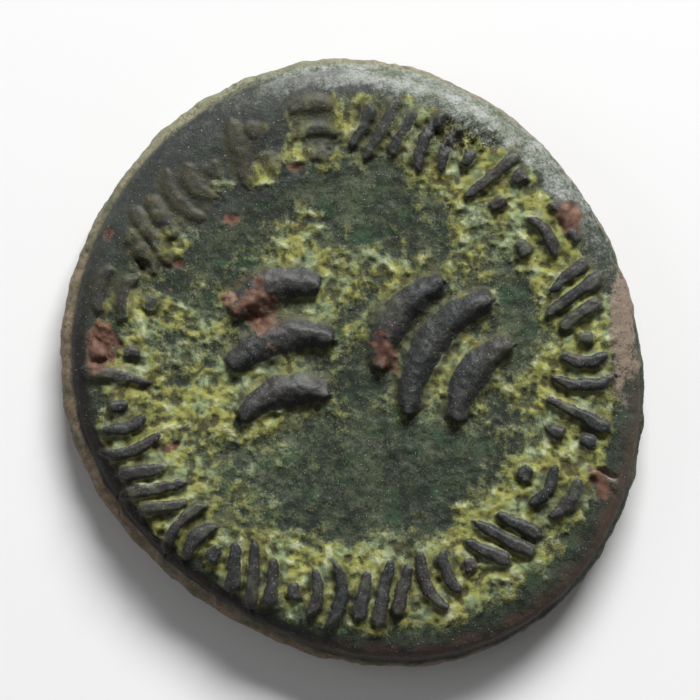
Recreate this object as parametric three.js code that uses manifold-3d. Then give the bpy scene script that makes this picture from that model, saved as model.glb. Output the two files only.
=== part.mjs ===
// A small struck bronze coin lying face up: a thick, slightly uneven flan with a rolled shoulder, a ring of
// short worn strokes round its face and two groups of bold curved strokes in the middle.
// Millimetres, +Z up. The origin is under the middle of the flan's outline, on the surface it lies on.

import * as THREE from "three";
import { mergeVertices } from "three/addons/utils/BufferGeometryUtils.js";
import Module from "manifold-3d";

const wasm = await Module();
wasm.setup();

// The outline, seen from above: a mean radius and four slow waves. Directions are in degrees from +X.
const FLAN_RADIUS = 8.51;
const OUTLINE_WAVES = [
  { perTurn: 1, height: 0.1, crest: -16 },
  { perTurn: 2, height: 0.365, crest: -58 },
  { perTurn: 3, height: 0.165, crest: -50 },
  { perTurn: 4, height: 0.045, crest: 18 },
];
const FLAN_SIDES = 96;

// The face is flat, but for a shallow dish in its middle.
const FACE_HEIGHT = 1.75;
const FACE_DISH = 0.04;

// The shoulder rolls down from the face to its foot in a quarter ellipse. Insets are from the outline.
const SHOULDER_START = 1.5;
const SHOULDER_FOOT = 0.42;
const SHOULDER_DROP = 0.42;
const SHOULDER_STEPS = 4;

// Below the shoulder the wall is folded in a little, then stands out to its crest and rounds under.
const FOLD_INSET = 0.36;
const FOLD_DROP = 0.12;
const WALL_CREST_HEIGHT = 0.8;
const WALL_STEPS = 3;

// The face was struck a little off the flan's middle, so the wall leans towards this direction.
const FACE_SHIFT = 0.22;
const FACE_SHIFT_DIRECTION = -25;

// The underside: a flat border that the coin lies on, round a shallow field.
const BORDER_OUTER_INSET = 0.5;
const BORDER_INNER_INSET = 1.5;
const BACK_FIELD_INSET = 1.8;
const BACK_FIELD_DEPTH = 0.16;

// Each stroke's widest line lies this far under the surface it stands on.
const STROKE_SINK = 0.05;
const STRAIGHT_STEPS = 4;

// How a stroke's width changes along it: a wedge is wider at its outer end, a taper is narrower at both ends,
// and a spur widens the very ends again.
const BAR_SHAPE = { wedge: 0.22, taper: 0, spur: 0 };
const ARC_SHAPE = { wedge: 0, taper: 0.35, spur: 0 };
const BOLD_SHAPE = { wedge: 0, taper: 0.7, spur: 0.75 };

// The ring of strokes round the face, and the sizes and spacings of its figures.
const RING_RADIUS = 6.68;
const RING_PLACES = 22;
const RING_START = 82;
const RING_WIDTH = 0.48;
const RING_RELIEF = 0.25;
const RING_SIDES = 6;
const LONG = 1.95;
const SHORT = 1.4;
const DOT = 0.46;
const SLANT = 22;
const TURN = 72;
const BAR_PLACES = [-0.58, 0, 0.58];
const ARC_PLACES = [-0.54, 0.08, 0.67];
const CROSS_PLACES = [0.67, -0.07, -0.74];
const PAIR_BAR_PLACE = -0.38;
const PAIR_DOT_PLACE = 0.27;
const PAIR_DOT_RISE = 0.48;

// The ring is worn down round one direction, over a spread in degrees, by a share of its relief.
const WORN_DIRECTION = 125;
const WORN_SPREAD = 50;
const WORN_AWAY = 0.78;

// The two groups of bold strokes in the middle. Each is a row of strokes a pitch apart.
const BOLD_WIDTH = 1.15;
const BOLD_RELIEF = 0.36;
const BOLD_TURN = 72;
const BOLD_SIDES = 8;
const LEFT_GROUP = { x: -2.0, y: 0.45, pitch: 1.52, lengths: [2.8, 3.2, 2.8], row: -86, tilt: 16 };
const RIGHT_GROUP = { x: 2.62, y: 0.35, pitch: 1.32, lengths: [3.3, 4.3, 2.9], row: -38, tilt: 54 };

// The low, broad strokes of the underside.
const BACK_WIDTH = 1.9;
const BACK_RELIEF = 0.1;
const BACK_GROUP = { x: 0, y: 0, pitch: 2.5, lengths: [5.2, 7.4, 5.2], row: -60, tilt: 30 };

const UP = 1;
const DOWN = -1;
const OUTWARD = 90;
const QUARTER = Math.PI / 2;
const radians = THREE.MathUtils.degToRad;

// The outline's distance from the middle in a direction, as a share of the mean radius.
function outlineShare(direction) {
  let share = 1;
  for (const { perTurn, height, crest } of OUTLINE_WAVES) {
    share += (height / FLAN_RADIUS) * Math.cos(perTurn * (direction - radians(crest)));
  }
  return share;
}

// How far the rolled shoulder has dropped below the face at an inset from the outline.
function shoulderDrop(inset) {
  const across = (SHOULDER_START - inset) / (SHOULDER_START - SHOULDER_FOOT);
  const share = THREE.MathUtils.clamp(across, 0, 1);
  return SHOULDER_DROP * (1 - Math.sqrt(1 - share * share));
}

// The face's height at a place on it.
function faceHeight(x, y) {
  const radius = Math.hypot(x, y) / outlineShare(Math.atan2(y, x));
  const dish = FACE_DISH * (1 - Math.min(1, radius / RING_RADIUS) ** 2);
  return FACE_HEIGHT - dish - shoulderDrop(FLAN_RADIUS - radius);
}

// The height of the shallow field on the underside.
function backHeight() {
  return BACK_FIELD_DEPTH;
}

// A point of the flan's half section, at an inset from the outline.
function sectionPoint(inset, height) {
  return new THREE.Vector2(FLAN_RADIUS - inset, height);
}

// Points of a quarter ellipse between two points of the section: it leaves the first upright and meets the
// second level.
function quarterEllipse(start, end, steps) {
  const points = [];
  for (let step = 0; step <= steps; step++) {
    const angle = QUARTER * (step / steps);
    const x = THREE.MathUtils.lerp(start.x, end.x, 1 - Math.cos(angle));
    const y = THREE.MathUtils.lerp(start.y, end.y, Math.sin(angle));
    points.push(new THREE.Vector2(x, y));
  }
  return points;
}

// The flan's half section, from the middle of the underside round the wall to the middle of the face.
function flanProfile() {
  const crest = sectionPoint(0, WALL_CREST_HEIGHT);
  const borderEdge = sectionPoint(BORDER_OUTER_INSET, 0);
  const fold = sectionPoint(FOLD_INSET, FACE_HEIGHT - SHOULDER_DROP - FOLD_DROP);
  const shoulderFoot = sectionPoint(SHOULDER_FOOT, FACE_HEIGHT - SHOULDER_DROP);
  const shoulderTop = sectionPoint(SHOULDER_START, FACE_HEIGHT);
  return [
    new THREE.Vector2(0, BACK_FIELD_DEPTH),
    sectionPoint(BACK_FIELD_INSET, BACK_FIELD_DEPTH),
    sectionPoint(BORDER_INNER_INSET, 0),
    ...quarterEllipse(crest, borderEdge, WALL_STEPS).reverse(),
    ...quarterEllipse(crest, fold, WALL_STEPS).slice(1),
    ...quarterEllipse(shoulderFoot, shoulderTop, SHOULDER_STEPS),
    new THREE.Vector2(RING_RADIUS / 2, faceHeight(RING_RADIUS / 2, 0)),
    new THREE.Vector2(0, faceHeight(0, 0)),
  ];
}

// A stroke's width at a place along it from -1 to 1, as a share of its full width.
function widthShare(along, { wedge, taper, spur }) {
  const end = Math.sqrt(Math.max(0, 1 - along ** 8));
  return end * (1 + wedge * along - taper * along ** 2 + spur * along ** 6);
}

// A closed geometry as a manifold-3d solid.
function solidFrom(geometry) {
  const bare = geometry.clone();
  bare.deleteAttribute("normal");
  bare.deleteAttribute("uv");
  const merged = mergeVertices(bare);
  const mesh = new wasm.Mesh({
    numProp: 3,
    vertProperties: merged.attributes.position.array,
    triVerts: new Uint32Array(merged.index.array),
  });
  return new wasm.Manifold(mesh);
}

// Moves each of a geometry's points by a function of its place.
function reshape(geometry, move) {
  const places = geometry.attributes.position;
  const place = new THREE.Vector3();
  for (let i = 0; i < places.count; i++) {
    place.fromBufferAttribute(places, i);
    move(place);
    places.setXYZ(i, place.x, place.y, place.z);
  }
  return geometry;
}

// The blank flan: the half section turned round, pulled out to the outline and leaned with the strike.
function makeFlan() {
  const flan = new THREE.LatheGeometry(flanProfile(), FLAN_SIDES).rotateX(QUARTER);
  const lean = radians(FACE_SHIFT_DIRECTION);
  return reshape(flan, (place) => {
    const share = outlineShare(Math.atan2(place.y, place.x));
    const nearEdge = Math.hypot(place.x, place.y) / FLAN_RADIUS;
    const shift = FACE_SHIFT * (place.z / FACE_HEIGHT) * nearEdge;
    place.x = place.x * share + shift * Math.cos(lean);
    place.y = place.y * share + shift * Math.sin(lean);
  });
}

// One raised stroke: a ridge that narrows to blunt ends, bent in an arc and set on a surface that faces up or
// down. Its middle is near x, y; tilt is its chord's direction, and turn is the whole angle of its arc.
function makeStroke({ x, y, length, tilt, turn, shape, width, relief, sides, surface, facing = UP }) {
  const steps = turn ? sides : STRAIGHT_STEPS;
  const profile = [];
  for (let step = 0; step <= steps; step++) {
    const along = -Math.cos((Math.PI * step) / steps);
    profile.push(new THREE.Vector2((width / 2) * widthShare(along, shape), (along * length) / 2));
  }
  const ridge = new THREE.LatheGeometry(profile, sides, Math.PI / sides);
  const direction = radians(tilt);
  const bend = radians(turn);
  const radius = turn ? length / bend : 0;
  const bow = radius * (1 - Math.cos(bend / 2));
  const heightScale = (relief + STROKE_SINK) / ((width / 2) * Math.cos(Math.PI / sides));
  return reshape(ridge, (place) => {
    const angle = (bend * place.y) / length;
    const forward = turn ? (radius - place.x) * Math.sin(angle) : place.y;
    const sideways = turn ? (radius - place.x) * Math.cos(angle) - radius + bow / 2 : -place.x;
    place.x = x + forward * Math.cos(direction) - sideways * Math.sin(direction);
    place.y = y + forward * Math.sin(direction) + sideways * Math.cos(direction);
    place.z = surface(place.x, place.y) + place.z * heightScale - facing * STROKE_SINK;
  });
}

// One mark of a ring figure: across runs round the ring, and outward runs away from the middle.
function mark(across, outward, length, tilt, turn = 0) {
  return { across, outward, length, tilt, turn };
}

function leaningBars(tilt) {
  return BAR_PLACES.map((across, i) => mark(across, 0, i === 1 ? LONG : SHORT, tilt));
}

function nestedArcs(side) {
  const [outer, inner, dot] = ARC_PLACES.map((across) => side * across);
  const arcs = [mark(outer, 0, LONG, OUTWARD, side * TURN), mark(inner, 0, SHORT, OUTWARD, side * TURN)];
  return [...arcs, mark(dot, 0, DOT, OUTWARD)];
}

function barAndDots() {
  const tilt = OUTWARD - SLANT / 2;
  const dots = [PAIR_DOT_RISE, -PAIR_DOT_RISE].map((rise) => mark(PAIR_DOT_PLACE, rise, DOT, tilt));
  return [mark(PAIR_BAR_PLACE, 0, LONG, tilt), ...dots];
}

function crossArcs() {
  const [outer, inner, dot] = CROSS_PLACES;
  return [mark(0, outer, SHORT, 0, TURN), mark(0, inner, SHORT, 0, TURN), mark(0, dot, DOT, 0)];
}

const RING_FIGURES = [
  leaningBars(OUTWARD - SLANT),
  nestedArcs(1),
  barAndDots(),
  crossArcs(),
  leaningBars(OUTWARD + SLANT),
  nestedArcs(-1),
];

// Which figure stands at a place of the ring. Each round of figures starts two further on, so that none
// stands beside itself.
function figureAt(place) {
  const round = Math.floor(place / RING_FIGURES.length);
  return RING_FIGURES[(place + 2 * round) % RING_FIGURES.length];
}

// How much of the relief is left in a direction round the ring.
function reliefLeft(degrees) {
  const away = THREE.MathUtils.euclideanModulo(degrees - WORN_DIRECTION + 180, 360) - 180;
  return 1 - WORN_AWAY * Math.exp(-((away / WORN_SPREAD) ** 2));
}

// The ring of figures.
function ringStrokes() {
  const all = { width: RING_WIDTH, sides: RING_SIDES, surface: faceHeight };
  const strokes = [];
  for (let place = 0; place < RING_PLACES; place++) {
    const degrees = RING_START - (360 * place) / RING_PLACES;
    const outward = new THREE.Vector2(Math.cos(radians(degrees)), Math.sin(radians(degrees)));
    const across = new THREE.Vector2(outward.y, -outward.x);
    const relief = RING_RELIEF * reliefLeft(degrees);
    for (const { length, turn, ...at } of figureAt(place)) {
      const middle = outward.clone().multiplyScalar(RING_RADIUS + at.outward);
      const { x, y } = middle.addScaledVector(across, at.across);
      const tilt = at.tilt + degrees - OUTWARD;
      const shape = turn ? ARC_SHAPE : BAR_SHAPE;
      strokes.push(makeStroke({ ...all, x, y, length, turn, relief, tilt, shape }));
    }
  }
  return strokes;
}

// A row of curved strokes, stepped along the row's direction.
function groupStrokes(group, all) {
  const row = radians(group.row);
  const bold = { ...all, tilt: group.tilt, turn: BOLD_TURN, shape: BOLD_SHAPE, sides: BOLD_SIDES };
  return group.lengths.map((length, i) => {
    const step = (i - (group.lengths.length - 1) / 2) * group.pitch;
    const x = group.x + step * Math.cos(row);
    const y = group.y + step * Math.sin(row);
    return makeStroke({ ...bold, x, y, length });
  });
}

// The finished coin: the flan and every stroke joined into one solid, over the middle of its own outline.
function makeCoin() {
  const high = { width: BOLD_WIDTH, relief: BOLD_RELIEF, surface: faceHeight };
  const worn = { width: BACK_WIDTH, relief: BACK_RELIEF, surface: backHeight, facing: DOWN };
  const strokes = [
    ...ringStrokes(),
    ...groupStrokes(LEFT_GROUP, high),
    ...groupStrokes(RIGHT_GROUP, high),
    ...groupStrokes(BACK_GROUP, worn),
  ];
  const solid = strokes.reduce((joined, stroke) => joined.add(solidFrom(stroke)), solidFrom(makeFlan()));
  const { vertProperties, triVerts } = solid.getMesh();
  const geometry = new THREE.BufferGeometry();
  geometry.setAttribute("position", new THREE.BufferAttribute(vertProperties, 3));
  geometry.setIndex(new THREE.BufferAttribute(triVerts, 1));
  geometry.computeBoundingBox();
  const middle = geometry.boundingBox.getCenter(new THREE.Vector3());
  geometry.translate(-middle.x, -middle.y, 0);
  geometry.computeVertexNormals();
  return geometry;
}

const patinatedBronze = new THREE.MeshStandardMaterial({
  color: 0x4a5044,
  roughness: 0.45,
  metalness: 0.6,
  flatShading: true,
});

const coin = new THREE.Mesh(makeCoin(), patinatedBronze);
coin.name = "coin";

const model = new THREE.Group();
model.add(coin);

export default model;
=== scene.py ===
"""A small struck bronze coin lying face up: its worn relief as mesh, and its green and brown patina."""

import math

import bmesh
import bpy
import numpy as np
from mathutils import Matrix, Vector, noise


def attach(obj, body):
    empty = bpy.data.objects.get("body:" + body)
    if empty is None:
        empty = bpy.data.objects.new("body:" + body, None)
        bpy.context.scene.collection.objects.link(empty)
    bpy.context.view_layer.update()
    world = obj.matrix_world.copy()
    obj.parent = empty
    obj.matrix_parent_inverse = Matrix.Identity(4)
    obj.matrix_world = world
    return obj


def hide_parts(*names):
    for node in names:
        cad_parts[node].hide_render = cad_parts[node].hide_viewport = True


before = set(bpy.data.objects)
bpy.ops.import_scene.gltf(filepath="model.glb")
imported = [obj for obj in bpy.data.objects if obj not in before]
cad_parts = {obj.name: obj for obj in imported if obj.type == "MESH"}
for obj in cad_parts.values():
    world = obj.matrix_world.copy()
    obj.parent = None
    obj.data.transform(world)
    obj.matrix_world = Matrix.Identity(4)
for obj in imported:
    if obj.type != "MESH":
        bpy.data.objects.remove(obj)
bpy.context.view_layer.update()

MM = 0.001

# ---------------------------------------------------------------------------------------------------------
# The coin's form, in millimetres, as its solid has it. Directions are in degrees from +X.

FLAN_RADIUS = 8.51
# Waves of the outline: how many a turn, how high, and the direction of a crest.
OUTLINE_WAVES = [(1, 0.1, -16), (2, 0.365, -58), (3, 0.165, -50), (4, 0.045, 18)]

FACE_HEIGHT = 1.75
FACE_DISH = 0.04
SHOULDER_START = 1.5
SHOULDER_FOOT = 0.42
SHOULDER_DROP = 0.42
# The rolled shoulder is a little longer than its chord.
ROLL_OVER_CHORD = 1.06
FOLD_INSET = 0.36
FOLD_DROP = 0.12
WALL_CREST_HEIGHT = 0.8
FACE_SHIFT = 0.22
FACE_SHIFT_DIRECTION = -25
BORDER_OUTER_INSET = 0.5
BORDER_INNER_INSET = 1.5
BACK_FIELD_INSET = 1.8
BACK_FIELD_DEPTH = 0.16

# How a stroke's width changes along it: a wedge is wider at its outer end, a taper is narrower at both ends,
# and a spur widens the very ends again.
BAR_SHAPE = dict(wedge=0.22, taper=0, spur=0)
ARC_SHAPE = dict(wedge=0, taper=0.35, spur=0)
BOLD_SHAPE = dict(wedge=0, taper=0.7, spur=0.75)

RING_RADIUS = 6.68
RING_PLACES = 22
RING_START = 82
RING_WIDTH = 0.48
RING_RELIEF = 0.25
LONG, SHORT, DOT = 1.95, 1.4, 0.46
SLANT = 22
TURN = 72
BAR_PLACES = (-0.58, 0, 0.58)
ARC_PLACES = (-0.54, 0.08, 0.67)
CROSS_PLACES = (0.67, -0.07, -0.74)
PAIR_BAR_PLACE = -0.38
PAIR_DOT_PLACE = 0.27
PAIR_DOT_RISE = 0.48
WORN_DIRECTION = 125
WORN_SPREAD = 50
WORN_AWAY = 0.78

BOLD_WIDTH = 1.15
BOLD_RELIEF = 0.36
BOLD_TURN = 72
LEFT_GROUP = dict(x=-2.0, y=0.45, pitch=1.52, lengths=(2.8, 3.2, 2.8), row=-86, tilt=16)
RIGHT_GROUP = dict(x=2.62, y=0.35, pitch=1.32, lengths=(3.3, 4.3, 2.9), row=-38, tilt=54)
BACK_WIDTH = 1.9
BACK_RELIEF = 0.1
BACK_GROUP = dict(x=0, y=0, pitch=2.5, lengths=(5.2, 7.4, 5.2), row=-60, tilt=30)

# How finely the mesh is cut: rings of triangles across the face and the underside, and rings down the wall.
FACE_RINGS = 160
BACK_RINGS = 44
WALL_RINGS = 12
# The drum's face and underside are its places within this of z 1 and z 0.
LEVEL_GAP = 0.001
# How far round a stroke its nearness counts, and what stands for the distance where none is near.
NEARNESS, FAR_AWAY = 1, 99.0

# A stroke's worn side falls away between these shares of its half width, and its end over this length.
RING_SIDE = (1.22, 0.38)
BOLD_SIDE = (1.3, 0.12)
STROKE_END = 0.16

# How far the edges of strokes and patches wander, and over what length.
WANDER, WANDER_LENGTH = 0.07, 0.7
JITTER, JITTER_LENGTH = 0.035, 0.22

# The surface's own unevenness: heights, and the lengths they run over.
SWELL, SWELL_LENGTH = 0.035, 2.4
LUMP, LUMP_LENGTH = 0.03, 0.7
GRAIN, GRAIN_LENGTH = 0.022, 0.2
CRUMB, CRUMB_LENGTH = 0.075, 0.26
WALL_ROUGHNESS, WALL_GRAIN_LENGTH = 0.04, 0.9
# How much of it is missing from smooth slate, the margin and the strokes, and how much is left underneath.
SLATE_CALM, MARGIN_CALM, RIDGE_CALM = 0.45, 0.2, 0.75
BACK_UNEVENNESS = 0.4
# A stroke's own height varies by these shares with the lumps and the grain.
RIDGE_LUMPS, RIDGE_GRAIN = 0.1, 0.05
# A stroke of the underside counts for this much of a ridge, since it is worn low.
BACK_RIDGE = 0.6

DEPOSIT_THICKNESS = 0.04
RED_SINK, RED_LUMPS = 0.03, 0.05
CRUST_DEPTH = 0.16
SLIT_DEPTH = 0.14
# Pits lie where the lumps stand above the first of PIT_PATCHES, and are full above the second.
PIT_DEPTH, PIT_SPACING, PIT_WIDTH, PIT_CORE = 0.05, 0.62, 0.3, 0.05
PIT_RAGGEDNESS, PIT_PATCHES = 0.15, (0, 0.4)
# Shares of the heights above: the wall's lumps, and how low the wall and the crust lie on the whole.
WALL_LUMPS, WALL_SINK, CRUST_SINK = 0.6, 0.5, 0.5

# How far the lumps and the grain push a patch's edge about, and how deep inside it its mark is full.
RED_EDGE_LUMPS, RED_EDGE_GRAIN, RED_FULL = 0.5, 0.35, 0.4
TAN_EDGE_LUMPS = 0.3
CRUST_EDGE_GRAIN, CRUST_FULL = 0.4, 0.5
SLIT_FULL = 0.6

# The rings of wear round the face: nothing at the first inset from the outline, and full at the second.
MARGIN_INSETS = (1.2, 0.6)
BROWN_INSETS = (0.85, 0.25)
# The worn rim painted pale as a highlight lies between these insets.
RIM_HIGHLIGHT_INSETS = (1.25, 0.45)
MARGIN_WANDER, RIM_WANDER = 0.15, 0.25
SLATE_RADII = (4.4, 6.2)
SLATE_STRENGTH, MARGIN_SLATE = 0.8, 0.5
# The direction that a zone lies towards, and how far round it spreads. A second one counts for half.
SLATE_AIM = (122, 40)
BROWN_AIM, SECOND_BROWN_AIM = (-72, 34), (-20, 25)
SECOND_SHARE = 0.5
# The worn rim painted pale as a highlight lies towards the key light, at the top.
RIM_HIGHLIGHT_AIM = (68, 46)
# The wall is painted paler as a highlight towards the top, where the light is.
WALL_HIGHLIGHT_AIM = (110, 45)
# The fold below the shoulder is open in these directions and filled in elsewhere, by a width and a drop.
FOLD_AIM, SECOND_FOLD_AIM = (-145, 65), (95, 30)
FILL_WIDTH, FILL_DROP = 0.22, 0.05
# A black painted shade lies in the fold, round this inset and this far to either side.
FOLD_SHADE_INSET, FOLD_SHADE_REACH, FOLD_SHADE_WANDER = 0.52, 0.27, 0.1
FOLD_SHADE_CORE = FOLD_SHADE_REACH / 3
# The wall's bare strip above its crest: how wide it is on the left and at the top, and its edge's softness.
LEFT_STRIP, LEFT_STRIP_AIM = 0.35, (-150, 65)
TOP_STRIP, TOP_STRIP_AIM = 0.14, (110, 60)
STRIP_EDGE = 0.05

# The deposit gathers in its beds and close to strokes, a little more in the ring, and thins out where it
# is rubbed: on the strokes, the margin and the slate. It lies where the sum of these is above about 0.
BED_WEIGHT = 0.8
CLOSE_WEIGHT, CLOSE_REACH = 0.32, (0.95, 0.05)
RING_WEIGHT, RING_BAND = 0.13, (1.7, 1.0)
DEPOSIT_SCARCITY = 0.3
DEPOSIT_LUMPS, DEPOSIT_GRAIN = 0.5, 0.2
RIDGE_RUB, RIDGE_RUB_SPAN = 1.8, (0.35, 0.85)
MARGIN_RUB, SLATE_RUB = 0.5, 0.5
BED_SPAN = (-0.1, 0.3)
BACK_LUMPS, BACK_SWELLS, BACK_SCARCITY = 0.5, 0.4, 0.2
# The painted shade at the foot of a stroke: how far out it lies, and how high up the stroke's side.
STROKE_SHADE_REACH = (0.22, 0.02)
STROKE_SHADE_RISE = (0.75, 0.3)

# Where the yellow-green deposit lies: the middle, the reach and the strength of each bed.
DEPOSIT_BEDS = [
    (1.7, 6.7, 0.7, 0.8), (3.4, 5.5, 0.9, 1.1), (5.2, 4.4, 0.9, 0.8), (6.0, 2.5, 0.8, 1.1),
    (6.6, 0.4, 0.9, 1.1), (6.0, -0.9, 0.8, 1.1), (6.8, -2.8, 0.6, 0.9), (5.6, -2.9, 0.8, 0.7),
    (4.6, -4.0, 0.9, 0.8), (4.2, -5.8, 0.9, 1.0), (2.6, -6.6, 0.9, 0.9), (0.8, -5.8, 0.9, 0.8),
    (-1.6, -6.0, 1.0, 1.1), (-3.2, -6.3, 0.8, 0.8), (-4.7, -3.4, 1.0, 0.7), (-5.5, -2.6, 0.9, 0.9),
    (-5.4, -4.6, 0.7, 0.9), (-4.2, -1.1, 0.9, 1.2), (-6.3, -0.7, 0.7, 0.9), (-5.0, 3.4, 0.5, 1.2),
    (-1.6, 3.5, 0.8, 0.8), (-4.7, 1.0, 0.8, 0.7), (-0.4, 2.2, 0.8, 0.8), (2.9, -0.2, 0.9, 0.8),
    (-2.4, -0.8, 0.9, 0.8), (-2.6, -2.5, 0.9, 0.4), (3.6, 3.3, 1.0, 0.5), (1.0, 2.9, 0.8, 0.7),
    (-3.7, 5.0, 0.4, 1.3), (-2.6, 5.3, 0.4, 1.3), (-1.5, 6.1, 0.4, 1.2), (-6.2, 1.5, 0.5, 1.2),
    (0.0, 6.8, 0.4, 0.9), (7.0, 1.7, 0.5, 0.7), (-5.9, -3.9, 0.6, 1.1), (3.3, -4.9, 0.6, 0.6),
    (-6.7, -2.3, 0.6, 0.9), (-4.6, -5.6, 0.6, 0.9),
]
# Where it is scarce: the dark calm areas and the smooth slate of the upper left.
BARE_BEDS = [
    (-0.6, -3.5, 1.2, 0.5), (1.6, -3.2, 1.4, 0.6), (3.4, -2.6, 0.9, 0.4), (0.6, 4.6, 1.0, 0.6),
    (4.9, 0.9, 0.8, 0.6), (0.1, -0.4, 0.7, 0.5), (-4.4, 5.2, 2.0, 0.6), (-6.9, 2.4, 1.0, 0.4),
]

# Patches of bare red-brown oxide: the middle, the half length and half width, and the tilt.
RED_PATCHES = [
    (-2.75, 1.6, 1.15, 0.68, -50), (1.0, 0.2, 0.65, 0.4, -70), (-7.05, 0.4, 1.0, 0.5, 75),
    (-1.5, 5.57, 0.3, 0.13, 0), (-3.38, 4.06, 0.32, 0.19, -20), (-4.83, 2.8, 0.26, 0.22, 0),
    (-5.1, 2.1, 0.22, 0.14, 0), (-6.9, 3.7, 0.26, 0.2, 70), (-5.1, -2.4, 0.26, 0.16, 10),
    (6.3, 4.15, 0.55, 0.36, -55), (7.2, -3.5, 0.6, 0.34, -60),
]
# Patches where the rim is worn to a tan brown, given the same way.
TAN_PATCHES = [(7.85, 1.2, 2.3, 0.46, 88), (7.35, -3.2, 0.42, 0.14, -28)]
# A rough crusty hollow, and a slit cut in the rim.
CRUST_HOLLOWS = [(3.15, 6.45, 1.2, 0.6, -12), (-5.9, 2.75, 0.4, 0.2, -30)]
RIM_SLITS = [(7.35, -3.2, 0.46, 0.13, -28)]


def smooth(value, low, high):
    """Rises smoothly from 0 to 1 as value goes from low to high."""
    share = np.clip((value - low) / (high - low), 0, 1)
    return share * share * (3 - 2 * share)


def outline_share(direction):
    """The outline's distance from the middle in a direction, as a share of the mean radius."""
    waves = sum(height * np.cos(count * (direction - math.radians(crest)))
                for count, height, crest in OUTLINE_WAVES)
    return 1 + waves / FLAN_RADIUS


# ---------------------------------------------------------------------------------------------------------
# Strokes: plain bars, arcs and dots, round the face and in its middle.


def stroke(x, y, length, tilt, turn, shape, width, relief, side):
    """A raised stroke: its middle, its chord's length and tilt, the turn of its arc, and its section."""
    return dict(x=x, y=y, length=length, tilt=tilt, turn=turn, shape=shape,
                width=width, relief=relief, side=side)


def width_share(along, wedge, taper, spur):
    """A stroke's width at a place along it from -1 to 1, as a share of its full width."""
    end = np.sqrt(np.maximum(1 - along ** 8, 1e-3))
    return end * (1 + wedge * along - taper * along ** 2 + spur * along ** 6)


def leaning_bars(tilt):
    return [(across, 0, LONG if across == 0 else SHORT, tilt, 0) for across in BAR_PLACES]


def nested_arcs(side):
    outer, inner, dot = (side * place for place in ARC_PLACES)
    return [(outer, 0, LONG, 90, side * TURN), (inner, 0, SHORT, 90, side * TURN), (dot, 0, DOT, 90, 0)]


def bar_and_dots():
    tilt = 90 - SLANT / 2
    dots = [(PAIR_DOT_PLACE, rise, DOT, tilt, 0) for rise in (PAIR_DOT_RISE, -PAIR_DOT_RISE)]
    return [(PAIR_BAR_PLACE, 0, LONG, tilt, 0)] + dots


def cross_arcs():
    outer, inner, dot = CROSS_PLACES
    return [(0, outer, SHORT, 0, TURN), (0, inner, SHORT, 0, TURN), (0, dot, DOT, 0, 0)]


RING_FIGURES = [leaning_bars(90 - SLANT), nested_arcs(1), bar_and_dots(), cross_arcs(),
                leaning_bars(90 + SLANT), nested_arcs(-1)]


def worn_share(direction):
    """How much of the ring's relief is worn away in a direction, in degrees."""
    away = (direction - WORN_DIRECTION + 180) % 360 - 180
    return WORN_AWAY * np.exp(-((away / WORN_SPREAD) ** 2))


def ring_strokes():
    """The ring of figures, each a few strokes, worn down on the upper left."""
    strokes = []
    for place in range(RING_PLACES):
        degrees = RING_START - 360 * place / RING_PLACES
        outward = Vector((math.cos(math.radians(degrees)), math.sin(math.radians(degrees))))
        across_way = Vector((outward.y, -outward.x))
        figure = RING_FIGURES[(place + 2 * (place // len(RING_FIGURES))) % len(RING_FIGURES)]
        relief = RING_RELIEF * (1 - worn_share(degrees))
        for across, out, length, tilt, turn in figure:
            middle = outward * (RING_RADIUS + out) + across_way * across
            shape = ARC_SHAPE if turn else BAR_SHAPE
            strokes.append(stroke(middle.x, middle.y, length, tilt + degrees - 90, turn, shape,
                                  RING_WIDTH, relief, RING_SIDE))
    return strokes


def group_strokes(group, width, relief):
    """A row of curved strokes, stepped along the row's direction."""
    row = math.radians(group["row"])
    strokes = []
    for i, length in enumerate(group["lengths"]):
        step = (i - (len(group["lengths"]) - 1) / 2) * group["pitch"]
        x = group["x"] + step * math.cos(row)
        y = group["y"] + step * math.sin(row)
        strokes.append(stroke(x, y, length, group["tilt"], BOLD_TURN, BOLD_SHAPE, width, relief, BOLD_SIDE))
    return strokes


def stroke_lines(mark, x, y):
    """For places x, y: how far along a stroke they are, from -1 to 1, and how far off its middle line."""
    direction = math.radians(mark["tilt"])
    dx, dy = x - mark["x"], y - mark["y"]
    forward = dx * math.cos(direction) + dy * math.sin(direction)
    sideways = dy * math.cos(direction) - dx * math.sin(direction)
    if not mark["turn"]:
        return 2 * forward / mark["length"], sideways
    bend = math.radians(mark["turn"])
    radius = mark["length"] / bend
    bow = radius * (1 - math.cos(bend / 2))
    from_centre = (sideways + radius - bow / 2) * np.sign(radius)
    angle = np.arctan2(forward * np.sign(radius), from_centre) * np.sign(radius)
    angle = np.where(np.abs(angle) > math.pi / 2, math.pi, angle * np.sign(radius)) * np.sign(bend)
    off_line = (np.hypot(forward, from_centre) - abs(radius)) * np.sign(radius)
    return 2 * angle / bend, off_line


def relief_of(strokes, x, y):
    """The strokes' height at places x, y, in millimetres, and the distance to the nearest stroke's side."""
    height = np.zeros_like(x)
    nearest = np.full_like(x, FAR_AWAY)
    for mark in strokes:
        reach = mark["length"] / 2 + mark["width"] + NEARNESS
        close = np.flatnonzero((np.abs(x - mark["x"]) < reach) & (np.abs(y - mark["y"]) < reach))
        along, off_line = stroke_lines(mark, x[close], y[close])
        past_end = np.maximum(np.abs(along) - 1, 0) * mark["length"] / 2
        half_width = mark["width"] / 2 * width_share(np.clip(along, -1, 1), **mark["shape"])
        across = np.abs(off_line) / half_width
        ridge = smooth(across, *mark["side"]) * smooth(past_end, STROKE_END, 0)
        height[close] = np.maximum(height[close], mark["relief"] * ridge)
        away = np.hypot(past_end, np.maximum(np.abs(off_line) - half_width, 0))
        nearest[close] = np.minimum(nearest[close], away)
    return height, nearest


# ---------------------------------------------------------------------------------------------------------
# The mesh.

SIXTH = math.pi / 3


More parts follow.
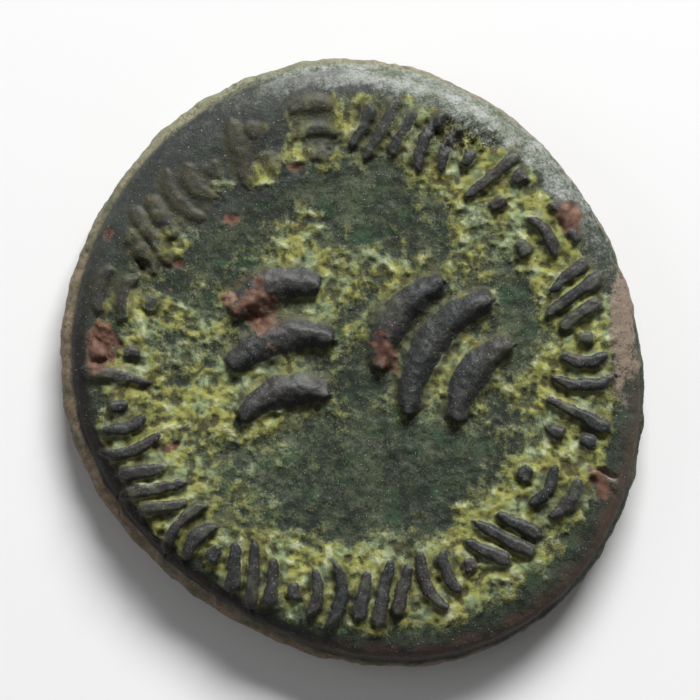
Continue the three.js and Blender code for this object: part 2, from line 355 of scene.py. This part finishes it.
def rounded(x, y):
    """Where a place in a hexagon of unit reach goes when the hexagon is rounded into a disc."""
    direction = math.atan2(y, x)
    middle = (math.floor(direction / SIXTH) + 0.5) * SIXTH
    off = direction - middle
    reach = math.hypot(x, y) * math.cos(off) / math.cos(SIXTH / 2)
    turned = middle + SIXTH / 2 * math.tan(off) / math.tan(SIXTH / 2)
    return reach * math.cos(turned), reach * math.sin(turned)


def add_disc(mesh, rings, height, face_up):
    """A disc of even triangles at a height, and its rim's edges."""
    made_before = len(mesh.verts)
    corner_at_x = Matrix.Rotation(SIXTH / 2, 4, "Z")
    made = bmesh.ops.create_circle(mesh, cap_ends=True, cap_tris=True, segments=6, radius=1,
                                   matrix=corner_at_x)["verts"]
    fan = list({edge for vertex in made for edge in vertex.link_edges})
    bmesh.ops.subdivide_edges(mesh, edges=fan, cuts=rings - 1, use_grid_fill=True)
    mesh.verts.ensure_lookup_table()
    fresh = mesh.verts[made_before:]
    for vertex in fresh:
        x, y = rounded(vertex.co.x, vertex.co.y)
        vertex.co = (x, y, height)
    faces = list({face for vertex in fresh for face in vertex.link_faces})
    if not face_up:
        bmesh.ops.reverse_faces(mesh, faces=faces)
    return [edge for edge in {edge for face in faces for edge in face.edges} if edge.is_boundary]


def drum_mesh():
    """A drum of unit radius from z 0 to 1: a finely cut face, rings down the wall, and an underside."""
    mesh = bmesh.new()
    rim = add_disc(mesh, FACE_RINGS, 1, True)
    for ring in range(WALL_RINGS):
        made = bmesh.ops.extrude_edge_only(mesh, edges=rim)["geom"]
        rim = [item for item in made if isinstance(item, bmesh.types.BMEdge)]
        moved = [item for item in made if isinstance(item, bmesh.types.BMVert)]
        bmesh.ops.translate(mesh, verts=moved, vec=(0, 0, -1 / (WALL_RINGS + 1)))
    foot = add_disc(mesh, BACK_RINGS, 0, False)
    bmesh.ops.bridge_loops(mesh, edges=rim + foot)
    bmesh.ops.triangulate(mesh, faces=mesh.faces)
    bmesh.ops.recalc_face_normals(mesh, faces=mesh.faces)
    return mesh


def quarter_ellipse(start, end, share):
    """A place on the quarter ellipse that leaves start upright and meets end level."""
    angle = share * math.pi / 2
    inset = start[0] + (end[0] - start[0]) * (1 - np.cos(angle))
    height = start[1] + (end[1] - start[1]) * np.sin(angle)
    return inset, height


def toward(direction, aim, spread):
    """1 in the direction aimed at, in degrees, falling to 0 over a spread."""
    away = (np.degrees(direction) - aim + 180) % 360 - 180
    return np.exp(-((away / spread) ** 2))


def filled_share(direction):
    """How far the fold below the shoulder is filled in: wholly on the right, not at all on the lower left."""
    open_share = toward(direction, *FOLD_AIM) + SECOND_SHARE * toward(direction, *SECOND_FOLD_AIM)
    return 1 - np.clip(open_share, 0, 1)


def face_section(share, filled):
    """The face, from its middle at 0 to the shoulder's foot at 1: radius and height."""
    flat = FLAN_RADIUS - SHOULDER_START
    roll_length = math.hypot(SHOULDER_START - SHOULDER_FOOT, SHOULDER_DROP) * ROLL_OVER_CHORD
    flat_share = flat / (flat + roll_length)
    top = (SHOULDER_START, FACE_HEIGHT)
    foot = (SHOULDER_FOOT - FILL_WIDTH * filled, FACE_HEIGHT - SHOULDER_DROP - FILL_DROP * filled)
    rolled = np.clip((1 - share) / (1 - flat_share), 0, 1)
    inset, height = quarter_ellipse(foot, top, rolled)
    radius = np.where(share < flat_share, share / flat_share * flat, FLAN_RADIUS - inset)
    dish = FACE_DISH * (1 - np.minimum(1, radius / RING_RADIUS) ** 2)
    return radius, height - dish


def wall_section(share, filled):
    """The wall, from the underside's edge at 0 to the shoulder's foot at 1: radius and height."""
    crest = (0, WALL_CREST_HEIGHT)
    edge = (BORDER_OUTER_INSET, 0)
    fold = (FOLD_INSET - FILL_WIDTH * filled, FACE_HEIGHT - SHOULDER_DROP - FOLD_DROP)
    low_inset, low_height = quarter_ellipse(crest, edge, np.clip(1 - share * 2, 0, 1))
    high_inset, high_height = quarter_ellipse(crest, fold, np.clip(share * 2 - 1, 0, 1))
    inset = np.where(share < 0.5, low_inset, high_inset)
    height = np.where(share < 0.5, low_height, high_height)
    return FLAN_RADIUS - inset, height


def back_section(share, filled):
    """The underside, from its middle at 0 to its edge at 1: radius and height."""
    radius = share * (FLAN_RADIUS - BORDER_OUTER_INSET)
    inset = FLAN_RADIUS - radius
    return radius, BACK_FIELD_DEPTH * smooth(inset, BORDER_INNER_INSET, BACK_FIELD_INSET)


def flan_places(drum):
    """The drum's places moved to the flan's form, which are face and which underside, and their insets."""
    x, y, z = drum.T
    share = np.minimum(np.hypot(x, y), 1)
    direction = np.arctan2(y, x)
    face = z > 1 - LEVEL_GAP
    back = z < LEVEL_GAP
    filled = filled_share(direction)
    radius, height = wall_section(z, filled)
    for chosen, section in ((face, face_section), (back, back_section)):
        section_radius, section_height = section(share, filled)
        radius = np.where(chosen, section_radius, radius)
        height = np.where(chosen, section_height, height)
    lean = math.radians(FACE_SHIFT_DIRECTION)
    shift = FACE_SHIFT * height / FACE_HEIGHT * radius / FLAN_RADIUS
    pulled = radius * outline_share(direction)
    flan_x = pulled * np.cos(direction) + shift * math.cos(lean)
    flan_y = pulled * np.sin(direction) + shift * math.sin(lean)
    return np.column_stack([flan_x, flan_y, height]), face, back, FLAN_RADIUS - radius


def read_vertices(data, what="co"):
    values = np.empty(len(data.vertices) * 3)
    data.vertices.foreach_get(what, values)
    return values.reshape(-1, 3)


# Each seed looks at another part of the noise, this far off. Each octave is twice as fine and half as high.
SEED_STEPS = (17.3, 5.9, 11.1)
FINER, FAINTER = 2.0, 1.0


def fractal(places, length, octaves, seed):
    """Smooth random heights from about -1 to 1, whose largest bumps are about a length across."""
    offset = Vector([seed * step for step in SEED_STEPS])
    return np.array([noise.fractal(Vector(place) / length + offset, FAINTER, FINER, octaves)
                     for place in places])


def pitting(places, spacing):
    """The distance to the nearest of a scatter of pits, as a share of their spacing."""
    return np.array([noise.voronoi(Vector(place) / spacing)[0][0] for place in places])


def beds(x, y, places):
    """The summed strength of soft round beds."""
    return sum(strength * np.exp(-((x - bx) ** 2 + (y - by) ** 2) / reach ** 2)
               for bx, by, reach, strength in places)


def patches(x, y, places):
    """How deep each place lies in the nearest patch: 1 in its middle, 0 at its edge, and below 0 outside."""
    deepest = np.full_like(x, -1.0)
    for px, py, half_length, half_width, tilt in places:
        turn = math.radians(tilt)
        forward = ((x - px) * math.cos(turn) + (y - py) * math.sin(turn)) / half_length
        sideways = ((y - py) * math.cos(turn) - (x - px) * math.sin(turn)) / half_width
        deepest = np.maximum(deepest, 1 - np.hypot(forward, sideways))
    return deepest


class Flan:
    """The undisturbed form at each point of the mesh, and the random heights from -1 to 1 that work on it."""

    def __init__(self, drum):
        self.places, self.face, self.back, self.inset = flan_places(drum)
        self.wall = ~(self.face | self.back)
        self.radius = np.hypot(self.places[:, 0], self.places[:, 1])
        self.direction = np.arctan2(self.places[:, 1], self.places[:, 0])
        self.middle = (self.places.max(axis=0) + self.places.min(axis=0)) / 2
        self.drift_x = fractal(self.places, WANDER_LENGTH, octaves=2, seed=1)
        self.drift_y = fractal(self.places, WANDER_LENGTH, octaves=2, seed=2)
        shake_x = fractal(self.places, JITTER_LENGTH, octaves=2, seed=3)
        shake_y = fractal(self.places, JITTER_LENGTH, octaves=2, seed=4)
        self.x = self.places[:, 0] + WANDER * self.drift_x + JITTER * shake_x
        self.y = self.places[:, 1] + WANDER * self.drift_y + JITTER * shake_y
        self.swells = fractal(self.places, SWELL_LENGTH, octaves=3, seed=5)
        self.lumps = fractal(self.places, LUMP_LENGTH, octaves=3, seed=6)
        self.grain = fractal(self.places, GRAIN_LENGTH, octaves=3, seed=7)
        self.crumbs = fractal(self.places, CRUMB_LENGTH, octaves=2, seed=8)
        self.wall_grain = fractal(self.places, WALL_GRAIN_LENGTH, octaves=3, seed=9)


def raised_strokes(flan):
    """The strokes' height on the face and on the underside, and the distance to the nearest on the face."""
    strokes = (ring_strokes() + group_strokes(LEFT_GROUP, BOLD_WIDTH, BOLD_RELIEF)
               + group_strokes(RIGHT_GROUP, BOLD_WIDTH, BOLD_RELIEF))
    relief, nearest = relief_of(strokes, flan.x, flan.y)
    back_relief, _ = relief_of(group_strokes(BACK_GROUP, BACK_WIDTH, BACK_RELIEF), flan.x, flan.y)
    relief = np.where(flan.face, relief, 0)
    back_relief = np.where(flan.back, back_relief, 0)
    nearest = np.where(flan.face, nearest, FAR_AWAY)
    return relief, back_relief, nearest


def wear(flan):
    """Where the face has a calm margin, smooth slate, a brown rim and a worn rim painted pale as a highlight,
    each from 0 to 1.
    """
    margin = smooth(flan.inset + MARGIN_WANDER * flan.lumps, *MARGIN_INSETS) * flan.face
    upper_left = SLATE_STRENGTH * smooth(flan.radius, *SLATE_RADII) * toward(flan.direction, *SLATE_AIM)
    slate = np.clip(upper_left + MARGIN_SLATE * margin, 0, 1) * flan.face
    ragged_inset = flan.inset + RIM_WANDER * flan.lumps
    second_way = SECOND_SHARE * toward(flan.direction, *SECOND_BROWN_AIM)
    brown_way = toward(flan.direction, *BROWN_AIM) + second_way
    brown = smooth(ragged_inset, *BROWN_INSETS) * flan.face * brown_way
    # The worn rim towards the top, which the patina paints pale as a highlight.
    worn = smooth(ragged_inset, *RIM_HIGHLIGHT_INSETS) * toward(flan.direction, *RIM_HIGHLIGHT_AIM) * ~flan.back
    return margin, slate, brown, worn


def deposit_on(flan, ridge, nearest, margin, slate):
    """How surely deposit lies at each point, from -1 to 1."""
    closeness = smooth(nearest, *CLOSE_REACH)
    ring_band = smooth(np.abs(flan.radius - RING_RADIUS), *RING_BAND)
    bed = beds(flan.x, flan.y, DEPOSIT_BEDS) - beds(flan.x, flan.y, BARE_BEDS)
    deposit = bed * BED_WEIGHT + closeness * (CLOSE_WEIGHT + RING_WEIGHT * ring_band) - DEPOSIT_SCARCITY
    deposit = deposit + DEPOSIT_LUMPS * flan.lumps + DEPOSIT_GRAIN * flan.grain
    deposit -= RIDGE_RUB * smooth(ridge, *RIDGE_RUB_SPAN) + MARGIN_RUB * margin + SLATE_RUB * slate
    on_back = BACK_LUMPS * flan.lumps + BACK_SWELLS * flan.swells - BACK_SCARCITY
    deposit = np.where(flan.back, on_back, deposit)
    return np.where(flan.wall, -1, np.clip(deposit, -1, 1))


def oxide_and_hollows(flan):
    """Where red oxide and the tan rim lie, from -1 to 1, and the crusty hollows and the slit, from 0 to 1."""
    red = patches(flan.x, flan.y, RED_PATCHES) + RED_EDGE_LUMPS * flan.lumps + RED_EDGE_GRAIN * flan.grain
    red = np.where(flan.face, np.clip(red, -1, 1), -1)
    tan = patches(flan.x, flan.y, TAN_PATCHES) + TAN_EDGE_LUMPS * flan.lumps
    tan = np.where(flan.back, -1, np.clip(tan, -1, 1))
    in_crust = patches(flan.x, flan.y, CRUST_HOLLOWS) + CRUST_EDGE_GRAIN * flan.grain
    crust = smooth(in_crust, 0, CRUST_FULL) * flan.face
    slit = smooth(patches(flan.x, flan.y, RIM_SLITS), 0, SLIT_FULL) * flan.face
    return red, tan, crust, slit


def wall_marks(flan):
    """Pits all over, painted shade in the open fold, the wall's bare metal and its side painted paler as a
    highlight, each from 0 to 1.
    """
    drift = np.column_stack([flan.drift_x, flan.drift_y, flan.drift_x])
    pit_distance = pitting(flan.places + drift * PIT_RAGGEDNESS, PIT_SPACING)
    pits = smooth(pit_distance, PIT_WIDTH, PIT_CORE) * smooth(flan.lumps, *PIT_PATCHES)

    # A painted shade in the fold, only where the fold is open.
    off_fold = np.abs(flan.inset - FOLD_SHADE_INSET + FOLD_SHADE_WANDER * flan.lumps)
    openness = (1 - filled_share(flan.direction)) ** 2
    above_crest = flan.places[:, 2] > WALL_CREST_HEIGHT
    fold = smooth(off_fold, FOLD_SHADE_REACH, FOLD_SHADE_CORE) * openness * above_crest

    left_strip = LEFT_STRIP * toward(flan.direction, *LEFT_STRIP_AIM)
    strip = left_strip + TOP_STRIP * toward(flan.direction, *TOP_STRIP_AIM)
    in_strip = smooth(flan.inset, strip + STRIP_EDGE, strip - STRIP_EDGE)
    below_crest = flan.places[:, 2] < WALL_CREST_HEIGHT
    bare = flan.wall * np.maximum(in_strip, below_crest)
    # The wall's side towards the light, painted paler as a highlight.
    pale = flan.wall * toward(flan.direction, *WALL_HIGHLIGHT_AIM)
    return pits, fold, bare, pale


def make_coin():
    """The coin's mesh, in place, with what its patina needs to know at each point."""
    mesh = drum_mesh()
    data = bpy.data.meshes.new("struck_coin")
    mesh.to_mesh(data)
    mesh.free()
    flan = Flan(read_vertices(data))
    data.vertices.foreach_set("co", flan.places.ravel())
    data.update()
    normals = read_vertices(data, "normal")

    relief, back_relief, nearest = raised_strokes(flan)
    ridge = np.clip(relief / RING_RELIEF + BACK_RIDGE * back_relief / BACK_RELIEF, 0, 1)
    # A painted shade round the foot of each stroke.
    foot = smooth(nearest, *STROKE_SHADE_REACH) * smooth(ridge, *STROKE_SHADE_RISE)
    # worn is the rim towards the top, painted pale as a highlight.
    margin, slate, brown, worn = wear(flan)
    deposit = deposit_on(flan, ridge, nearest, margin, slate)
    bedded = smooth(deposit, *BED_SPAN) * flan.face
    red, tan, crust, slit = oxide_and_hollows(flan)
    # fold carries the painted shade in the open fold.
    pits, fold, bare, pale = wall_marks(flan)

    face_unevenness = 1 - SLATE_CALM * slate - MARGIN_CALM * margin - RIDGE_CALM * ridge
    unevenness = np.where(flan.back, BACK_UNEVENNESS, face_unevenness)
    rise = SWELL * flan.swells + (LUMP * flan.lumps + GRAIN * flan.grain) * unevenness
    rise += bedded * (DEPOSIT_THICKNESS + CRUMB * flan.crumbs) * (1 - ridge)
    rise += smooth(red, 0, RED_FULL) * (RED_LUMPS * flan.crumbs - RED_SINK)
    sunk_crust = CRUST_DEPTH * crust * (CRUST_SINK - flan.crumbs)
    rise -= PIT_DEPTH * pits * unevenness + sunk_crust + SLIT_DEPTH * slit
    rise += flan.wall * WALL_ROUGHNESS * (flan.wall_grain + WALL_LUMPS * flan.lumps - WALL_SINK)
    moved = flan.places + normals * rise[:, None]
    moved[:, 2] += relief * (1 + RIDGE_LUMPS * flan.lumps + RIDGE_GRAIN * flan.grain) - back_relief
    moved[:, :2] -= flan.middle[:2]
    moved[:, 2] = np.maximum(moved[:, 2], 0)
    data.vertices.foreach_set("co", (moved * MM).ravel())

    # pale carries the painted highlight on the wall's top side.
    known = dict(ridge=ridge, deposit=deposit, crumb=flan.crumbs, red=red, tan=tan, slate=slate, brown=brown,
                 worn=worn, foot=foot, pits=pits, wall=bare, fold=fold, pale=pale, crust=crust)
    for name, values in known.items():
        layer = data.attributes.new(name, "FLOAT", "POINT")
        layer.data.foreach_set("value", values.astype(np.float32))
    data.update()
    data.shade_smooth()
    coin = bpy.data.objects.new("struck_coin", data)
    bpy.context.collection.objects.link(coin)
    return coin


# ---------------------------------------------------------------------------------------------------------
# The patina.


class Value:
    """A number or a colour that varies over a surface. Arithmetic on it adds Math nodes."""

    def __init__(self, finish, socket):
        self.finish = finish
        self.socket = socket

    def __add__(self, other):
        return self.finish.maths("ADD", self, other)

    def __radd__(self, other):
        return self.finish.maths("ADD", other, self)

    def __sub__(self, other):
        return self.finish.maths("SUBTRACT", self, other)

    def __rsub__(self, other):
        return self.finish.maths("SUBTRACT", other, self)

    def __mul__(self, other):
        return self.finish.maths("MULTIPLY", self, other)

    def __rmul__(self, other):
        return self.finish.maths("MULTIPLY", other, self)


class Finish:
    """A material, and the nodes it is made of."""

    def __init__(self, name):
        self.material = bpy.data.materials.new(name)
        self.material.use_nodes = True
        self.tree = self.material.node_tree
        self.shader = self.tree.nodes["Principled BSDF"]

    def node(self, kind, settings, inputs, output=0):
        """Adds a node: its type, its settings, and the values or links of its sockets."""
        made = self.tree.nodes.new(kind)
        for name, value in settings.items():
            setattr(made, name, value)
        for socket, value in inputs.items():
            self.feed(made.inputs[socket], value)
        return Value(self, made.outputs[output])

    def feed(self, socket, value):
        if isinstance(value, Value):
            self.tree.links.new(value.socket, socket)
        else:
            socket.default_value = value

    def maths(self, operation, first, second):
        return self.node("ShaderNodeMath", dict(operation=operation), {0: first, 1: second})

    def places(self):
        """The surface's own places, in millimetres."""
        coordinates = self.node("ShaderNodeTexCoord", {}, {}, "Object")
        return self.node("ShaderNodeVectorMath", dict(operation="SCALE"), {0: coordinates, "Scale": 1 / MM})

    def attribute(self, name):
        return self.node("ShaderNodeAttribute", dict(attribute_name=name), {}, "Fac")

    def cloud(self, places, length, detail, roughness=0.55):
        """Soft noise round 0.5, with features about a length across."""
        inputs = {"Vector": places, "Scale": 1 / length, "Detail": detail, "Roughness": roughness}
        return self.node("ShaderNodeTexNoise", {}, inputs, "Fac")

    def rise(self, value, low, high):
        """Rises smoothly from 0 to 1 as value goes from low to high."""
        inputs = {"Value": value, "From Min": low, "From Max": high}
        return self.node("ShaderNodeMapRange", dict(interpolation_type="SMOOTHSTEP"), inputs)

    def blend(self, share, first, second):
        """A colour that is the first where share is 0 and the second where it is 1."""
        first, second = (value if isinstance(value, Value) else (*value, 1) for value in (first, second))
        return self.node("ShaderNodeMix", dict(data_type="RGBA"), {0: share, 6: first, 7: second}, 2)


# The patina's colours, as linear red, green and blue.
DARK_GREEN = (0.008, 0.013, 0.007)
GREY_GREEN = (0.054, 0.068, 0.035)
SLATE = (0.013, 0.015, 0.013)
WORN_SLATE = (0.030, 0.037, 0.030)
PLUM = (0.026, 0.020, 0.019)
WORN_TOP = (0.052, 0.060, 0.066)
# A pale grey for the worn rim, painted on as a highlight where it faces the light.
WORN_RIM_HIGHLIGHT = (0.230, 0.240, 0.230)
WALL_TAN = (0.205, 0.160, 0.108)
# A dark earth for painted shade, at the strokes' feet and between the deposit's crumbs.
SHADED_EARTH = (0.034, 0.030, 0.014)
# A pale earth painted on the crumbs' tops as a highlight.
EARTH_HIGHLIGHT = (0.360, 0.380, 0.240)
YELLOW_GREEN = (0.205, 0.208, 0.054)
DEEP_GREEN = (0.012, 0.040, 0.016)
OCHRE = (0.220, 0.170, 0.060)
LEAF_GREEN = (0.165, 0.205, 0.105)
# A cream for tiny painted glints.
GLINT_CREAM = (0.620, 0.620, 0.480)
RED_BROWN = (0.100, 0.052, 0.033)
# Oxide painted paler on its crumbs as a highlight, and darker in its hollows as shade.
RED_HIGHLIGHT = (0.170, 0.110, 0.080)
SHADED_RED = (0.050, 0.020, 0.014)
TAN = (0.150, 0.115, 0.085)
# A pale buff painted on the wall's top side as a highlight.
WALL_HIGHLIGHT_BUFF = (0.150, 0.155, 0.095)
DEEP_BROWN = (0.046, 0.031, 0.022)
BLACK_BROWN = (0.008, 0.006, 0.004)
# The lengths of the patina's clouds, in millimetres, from broad tints to specks.
BROAD_CLOUD, LEAF_CLOUD, PATCH_CLOUD = 1.3, 0.8, 0.7
MOTTLE_CLOUD, GRAIN_CLOUD, SPECK_CLOUD = 0.3, 0.075, 0.045
# The height of the finest grain, in millimetres, how strongly the surface shines, and how rough it is.
BUMP_HEIGHT = 0.018
SHINE = 0.3
DULLNESS = 0.64


class Patina(Finish):
    """Old bronze: dark green and slate, with yellow-green deposit in the hollows and red-brown oxide.

    Each rise turns a cloud or an attribute into a mask: its two numbers are where the mask starts and where
    it is full."""

    def __init__(self):
        super().__init__("patina")
        places = self.places()
        self.broad = self.cloud(places, BROAD_CLOUD, 4)
        self.leaf = self.cloud(places, LEAF_CLOUD, 3)
        self.patch = self.cloud(places, PATCH_CLOUD, 4, 0.6)
        self.mottle = self.cloud(places, MOTTLE_CLOUD, 5, 0.65)
        self.grain = self.cloud(places, GRAIN_CLOUD, 3, 0.7)
        self.speck = self.cloud(places, SPECK_CLOUD, 1)
        self.crumb = self.attribute("crumb") + (self.grain - 0.5) * 0.5
        self.rough_edge = (self.mottle - 0.5) * 1.3 + (self.grain - 0.5) * 0.3
        self.rubbed = self.rise(self.mottle + (self.grain - 0.5) * 0.6 + (self.broad - 0.5) * 0.9, 0.3, 0.85)
        self.ridge = self.rise(self.attribute("ridge"), 0.25, 0.7)
        self.slate = self.zone("slate", 0.5, 0.1, 0.8)
        self.brown = self.zone("brown", 0.5, 0.0, 0.65)
        # The worn rim towards the top, painted pale as a highlight.
        self.rim = self.zone("worn", 0.8, 0.2, 0.9)
        self.deposit = self.zone("deposit", 1.2, -0.35, 0.6)
        self.tan = self.zone("tan", 0.5, 0.0, 0.3)
        self.red = self.zone("red", 0.9, 0.0, 0.45)
        # The painted shade in the open fold.
        self.fold_shade = self.zone("fold", 0.6, 0.1, 0.6)
        # Tiny bright specks painted as glints.
        self.glint_specks = self.rise(self.speck, 0.69, 0.76)
        self.dress()

    def zone(self, name, raggedness, low, high):
        """The mask of one of the coin's zones, with a ragged edge."""
        return self.rise(self.attribute(name) + self.rough_edge * raggedness, low, high)

    def metal(self):
        """The bare face: dark green, with slate, a brown rim and a worn one painted pale as a highlight."""
        colour = self.blend(self.rubbed, DARK_GREEN, GREY_GREEN)
        colour = self.blend(self.rise(self.leaf, 0.55, 0.7) * 0.6, colour, DEEP_GREEN)
        colour = self.blend(self.slate, colour, self.blend(self.rubbed, SLATE, WORN_SLATE))
        colour = self.blend(self.brown, colour, DEEP_BROWN)
        return self.blend(self.rim * 0.85, colour, self.blend(self.rubbed, GREY_GREEN, WORN_RIM_HIGHLIGHT))

    def strokes(self):
        """The tops of the strokes: slate and plum, rubbed paler in places."""
        top = self.blend(self.rise(self.broad, 0.35, 0.65), SLATE, PLUM)
        top = self.blend(self.rise(self.grain + (self.mottle - 0.5) * 0.6, 0.42, 0.75) * 0.55, top, WORN_TOP)
        return self.blend(self.rise(self.mottle + self.broad - 0.5, 0.5, 0.75) * 0.5, top, GREY_GREEN)

    def earth(self):
        """The deposit: yellow-green, ochre and deep green in patches, with painted shade between its crumbs
        and a painted highlight on their tops.
        """
        earth = self.blend(self.rise(self.mottle, 0.5, 0.75) * 0.5, YELLOW_GREEN, OCHRE)
        earth = self.blend(self.rise(self.patch, 0.47, 0.6), earth, LEAF_GREEN)
        deep = self.rise(self.patch + (self.mottle - 0.5) * 0.5, 0.42, 0.3)
        earth = self.blend(deep * 0.7, earth, DEEP_GREEN)
        # Painted shade in the hollows between crumbs, and a painted highlight on their tops.
        earth = self.blend(self.rise(self.crumb, 0.0, -0.5) * 0.85, earth, SHADED_EARTH)
        return self.blend(self.rise(self.crumb, 0.2, 0.75) * 0.75, earth, EARTH_HIGHLIGHT)

    def wall(self):
        """The wall: tan and red-brown, painted paler at the top as a highlight, stained and pitted."""
        colour = self.blend(self.rise(self.mottle, 0.4, 0.7), WALL_TAN, RED_BROWN)
        # A painted highlight on the wall's top side.
        colour = self.blend(self.attribute("pale"), colour, WALL_HIGHLIGHT_BUFF)
        greened = self.rise(self.broad + (self.mottle - 0.5) * 0.9, 0.45, 0.75) * 0.85
        colour = self.blend(greened, colour, GREY_GREEN)
        stained = self.rise(self.mottle + (self.grain - 0.5) * 0.8, 0.55, 0.3)
        colour = self.blend(stained * 0.7, colour, DEEP_BROWN)
        return self.blend(self.attribute("pits") * 0.8, colour, BLACK_BROWN)

    def oxide(self):
        """Bare oxide, with painted shade in its hollows and a painted highlight on its crumbs."""
        oxide = self.blend(self.rise(self.crumb, -0.5, 0.2), SHADED_RED, RED_BROWN)
        return self.blend(self.rise(self.crumb, 0.2, 0.9) * 0.8, oxide, RED_HIGHLIGHT)

    def rubbed_rim(self):
        """The tan metal where the rim is rubbed bare."""
        return self.blend(self.rise(self.mottle + (self.grain - 0.5) * 0.8, 0.5, 0.25) * 0.8, TAN, DEEP_BROWN)

    def dress(self):
        """Lays the colours over each other, and sets the shader."""
        colour = self.blend(self.ridge, self.metal(), self.strokes())
        colour = self.blend(self.deposit, colour, self.earth())
        # Painted shade round the strokes' feet.
        foot = self.attribute("foot") * self.rise(self.mottle, 0.3, 0.6)
        colour = self.blend(foot * 0.75, colour, SHADED_EARTH)
        colour = self.blend(self.attribute("wall"), colour, self.wall())
        colour = self.blend(self.tan, colour, self.rubbed_rim())
        colour = self.blend(self.red, colour, self.oxide())
        # Painted shade, black, in the open fold.
        colour = self.blend(self.fold_shade, colour, BLACK_BROWN)
        colour = self.blend(self.attribute("crust") * self.rise(self.grain, 0.6, 0.4), colour, BLACK_BROWN)
        # Tiny painted glints.
        colour = self.blend(self.glint_specks * 0.3, colour, GLINT_CREAM)

        dull = DULLNESS - self.ridge * 0.12 - self.rim * 0.22 - self.slate * 0.06
        dull = dull + self.deposit * 0.3 + self.red * 0.2 + (self.grain - 0.5) * 0.25
        height = self.grain * (0.7 + self.deposit * 0.6) + self.mottle * 0.6 + self.glint_specks * 0.3
        bump = self.node("ShaderNodeBump", {}, {"Distance": BUMP_HEIGHT * MM, "Height": height}, "Normal")
        self.shader.inputs["Specular IOR Level"].default_value = SHINE
        self.feed(self.shader.inputs["Base Color"], colour)
        self.feed(self.shader.inputs["Roughness"], dull)
        self.feed(self.shader.inputs["Normal"], bump)


coin = make_coin()
coin.data.materials.append(Patina().material)
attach(coin, "root")
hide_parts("coin")

# ---------------------------------------------------------------------------------------------------------
# Floor, lights and camera.

# Sizes and places here are in metres, powers in watts, and the floor's colour is linear.
FLOOR_SIZE, FLOOR_GREY, FLOOR_DULLNESS = 1.2, 0.6, 0.8
KEY_LIGHT = dict(place=(0.07, 0.30, 0.20), size=(0.22, 0.10), power=3.3)
FILL_LIGHT = dict(place=(-0.35, 0.02, 0.20), size=(0.3, 0.2), power=0.25)
STUDIO_LIGHT = 0.2

bpy.ops.mesh.primitive_plane_add(size=FLOOR_SIZE)
floor = bpy.context.object
floor.name = "floor"
floor_paint = bpy.data.materials.new("pale_floor")
floor_paint.use_nodes = True
floor_shader = floor_paint.node_tree.nodes["Principled BSDF"]
floor_shader.inputs["Base Color"].default_value = (FLOOR_GREY, FLOOR_GREY, FLOOR_GREY, 1)
floor_shader.inputs["Roughness"].default_value = FLOOR_DULLNESS
floor.data.materials.append(floor_paint)


def add_light(name, place, size, power):
    light = bpy.data.lights.new(name, "AREA")
    light.shape = "RECTANGLE"
    light.size, light.size_y = size
    light.energy = power
    holder = bpy.data.objects.new(name, light)
    holder.location = place
    holder.rotation_euler = (-Vector(place)).to_track_quat("-Z", "Y").to_euler()
    bpy.context.collection.objects.link(holder)


add_light("key", **KEY_LIGHT)
add_light("fill", **FILL_LIGHT)

world = bpy.data.worlds.new("studio")
world.use_nodes = True
background = world.node_tree.nodes["Background"]
background.inputs["Color"].default_value = (1, 1, 1, 1)
background.inputs["Strength"].default_value = STUDIO_LIGHT
bpy.context.scene.world = world
bpy.context.scene.view_settings.view_transform = "Standard"

# The camera looks straight down: its view's width and middle, its lens and its nearest sight, in millimetres.
VIEW_WIDTH = 19.98
VIEW_MIDDLE = (-0.053, 0.366)
LENS = 300
CLIP_START = 1
camera_data = bpy.data.cameras.new("camera")
camera_data.lens = LENS
camera_data.clip_start = CLIP_START * MM
camera = bpy.data.objects.new("camera", camera_data)
distance = VIEW_WIDTH * LENS / camera_data.sensor_width + FACE_HEIGHT
camera.location = (VIEW_MIDDLE[0] * MM, VIEW_MIDDLE[1] * MM, distance * MM)
bpy.context.collection.objects.link(camera)
bpy.context.scene.camera = camera
